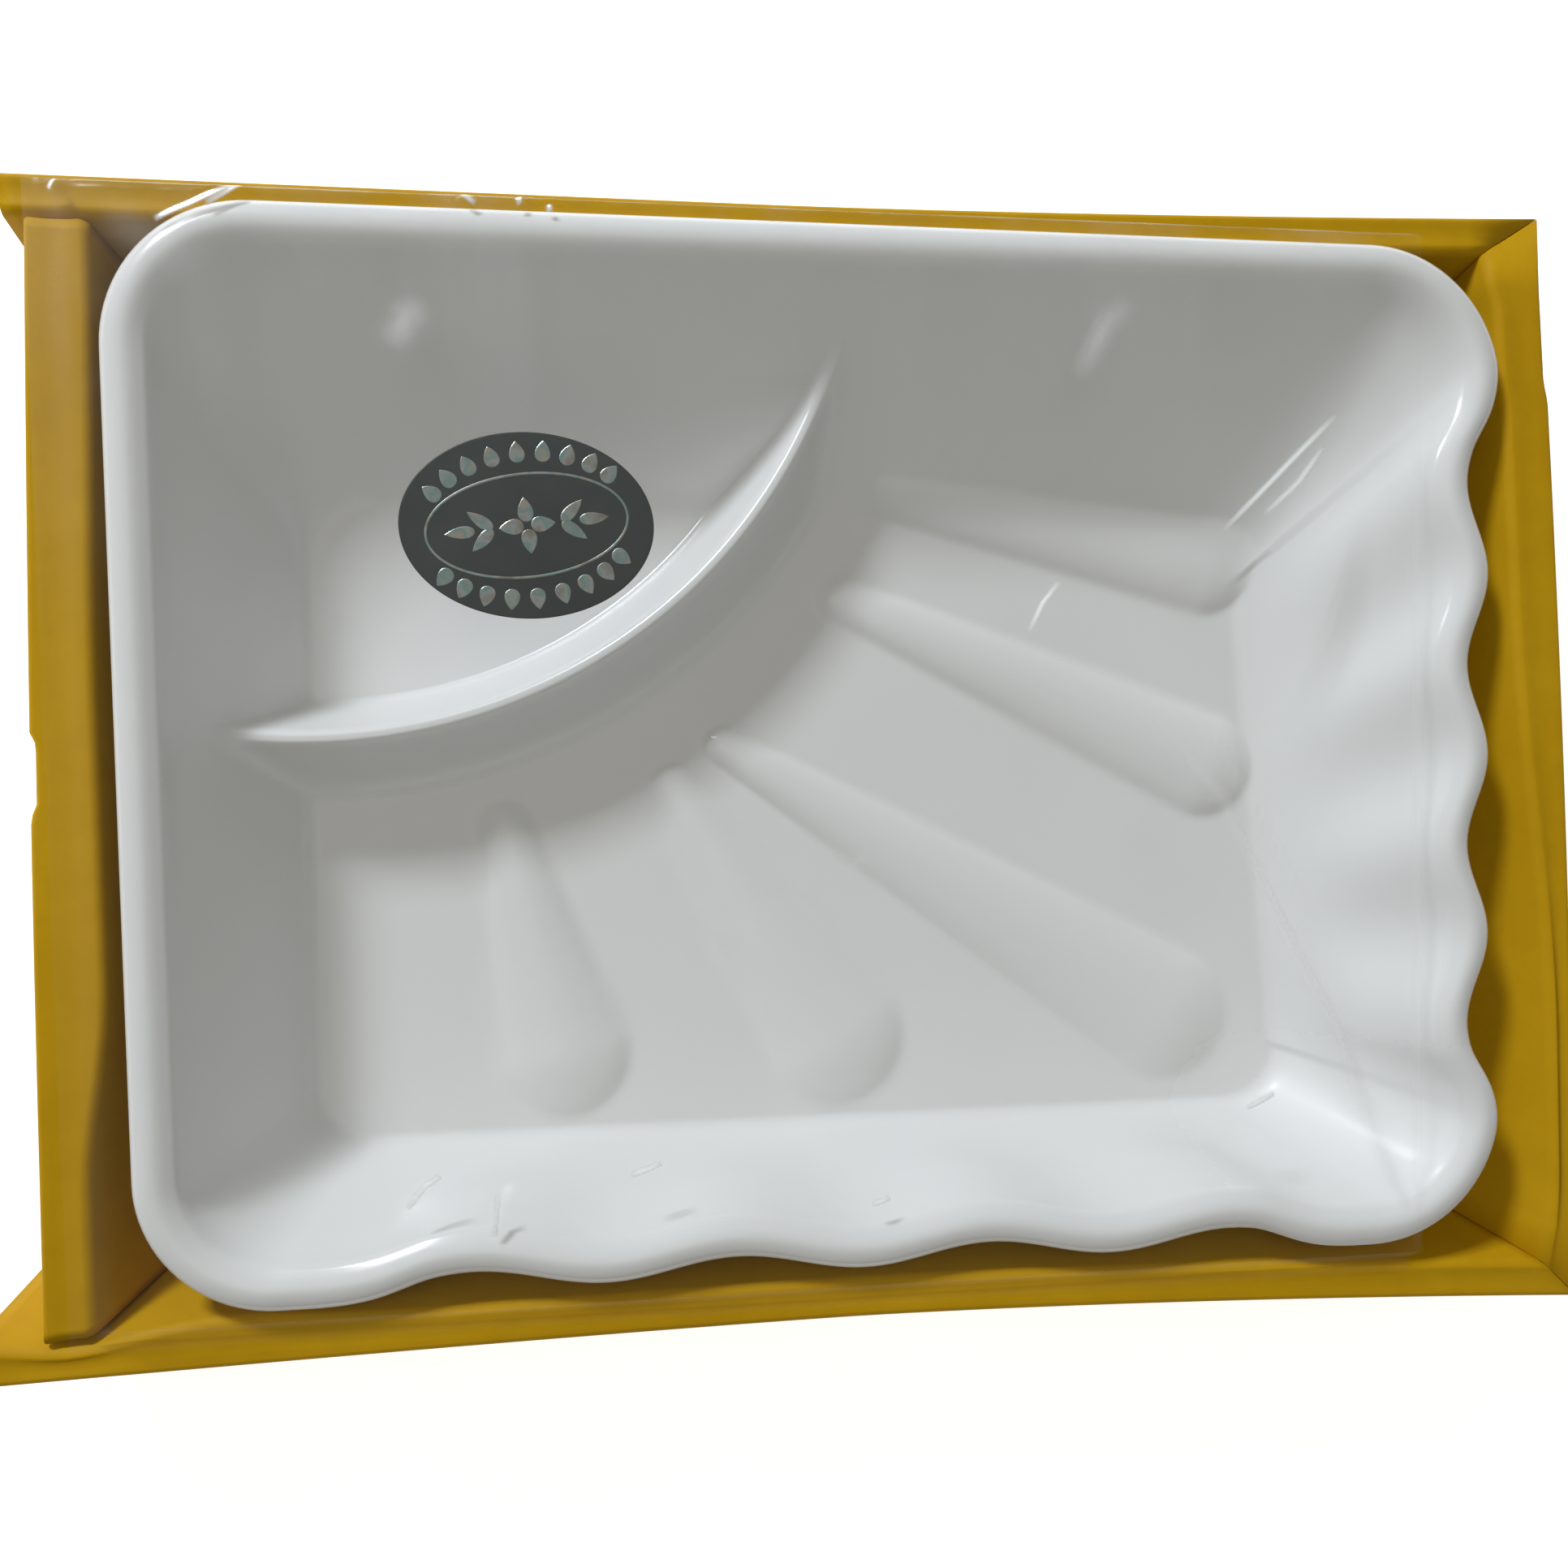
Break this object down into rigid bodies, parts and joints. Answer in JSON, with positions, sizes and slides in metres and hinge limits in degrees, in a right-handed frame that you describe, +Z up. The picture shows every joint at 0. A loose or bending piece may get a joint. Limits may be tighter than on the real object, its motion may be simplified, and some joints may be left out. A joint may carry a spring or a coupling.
{
  "type": "mixing palette",
  "caption": "Glossy moulded mixing dish with a curved divider, fanned ribs and a scalloped rim, in a shallow folded-card carton under clear film.",
  "frame": {"origin": "middle of the carton's footprint box, at the plane it stands on", "axes": "+X along the long side, away from the open-ended ears; +Y towards the back wall, where the divided corner is; +Z up, out of the dish"},
  "size_m": [0.397, 0.2784, 0.0512],
  "materials": {
    "white_plastic": "glossy",
    "yellow_card": "matt",
    "clear_film": "clear, glossy",
    "dark_label": "satin with foil print"
  },
  "bodies": {
    "carton": {"carton_base": "yellow_card", "back_outer_panel": "yellow_card", "back_roll_over_panel": "yellow_card", "front_outer_panel": "yellow_card", "front_roll_over_panel": "yellow_card", "right_outer_panel": "yellow_card", "right_roll_over_panel": "yellow_card", "left_outer_panel": "yellow_card", "left_roll_over_panel": "yellow_card"},
    "palette": {"palette_tray": "white_plastic"},
    "film": {"clear_film": "clear_film", "oval_sticker": "dark_label"}
  },
  "joints": [
    {"name": "palette_lift", "type": "slide", "parent": "carton", "child": "palette", "axis": [0, 0, 1], "range_m": [0, 0.12]},
    {"name": "film_lift", "type": "slide", "parent": "palette", "child": "film", "axis": [0, 0, 1], "range_m": [0, 0.1]}
  ]
}
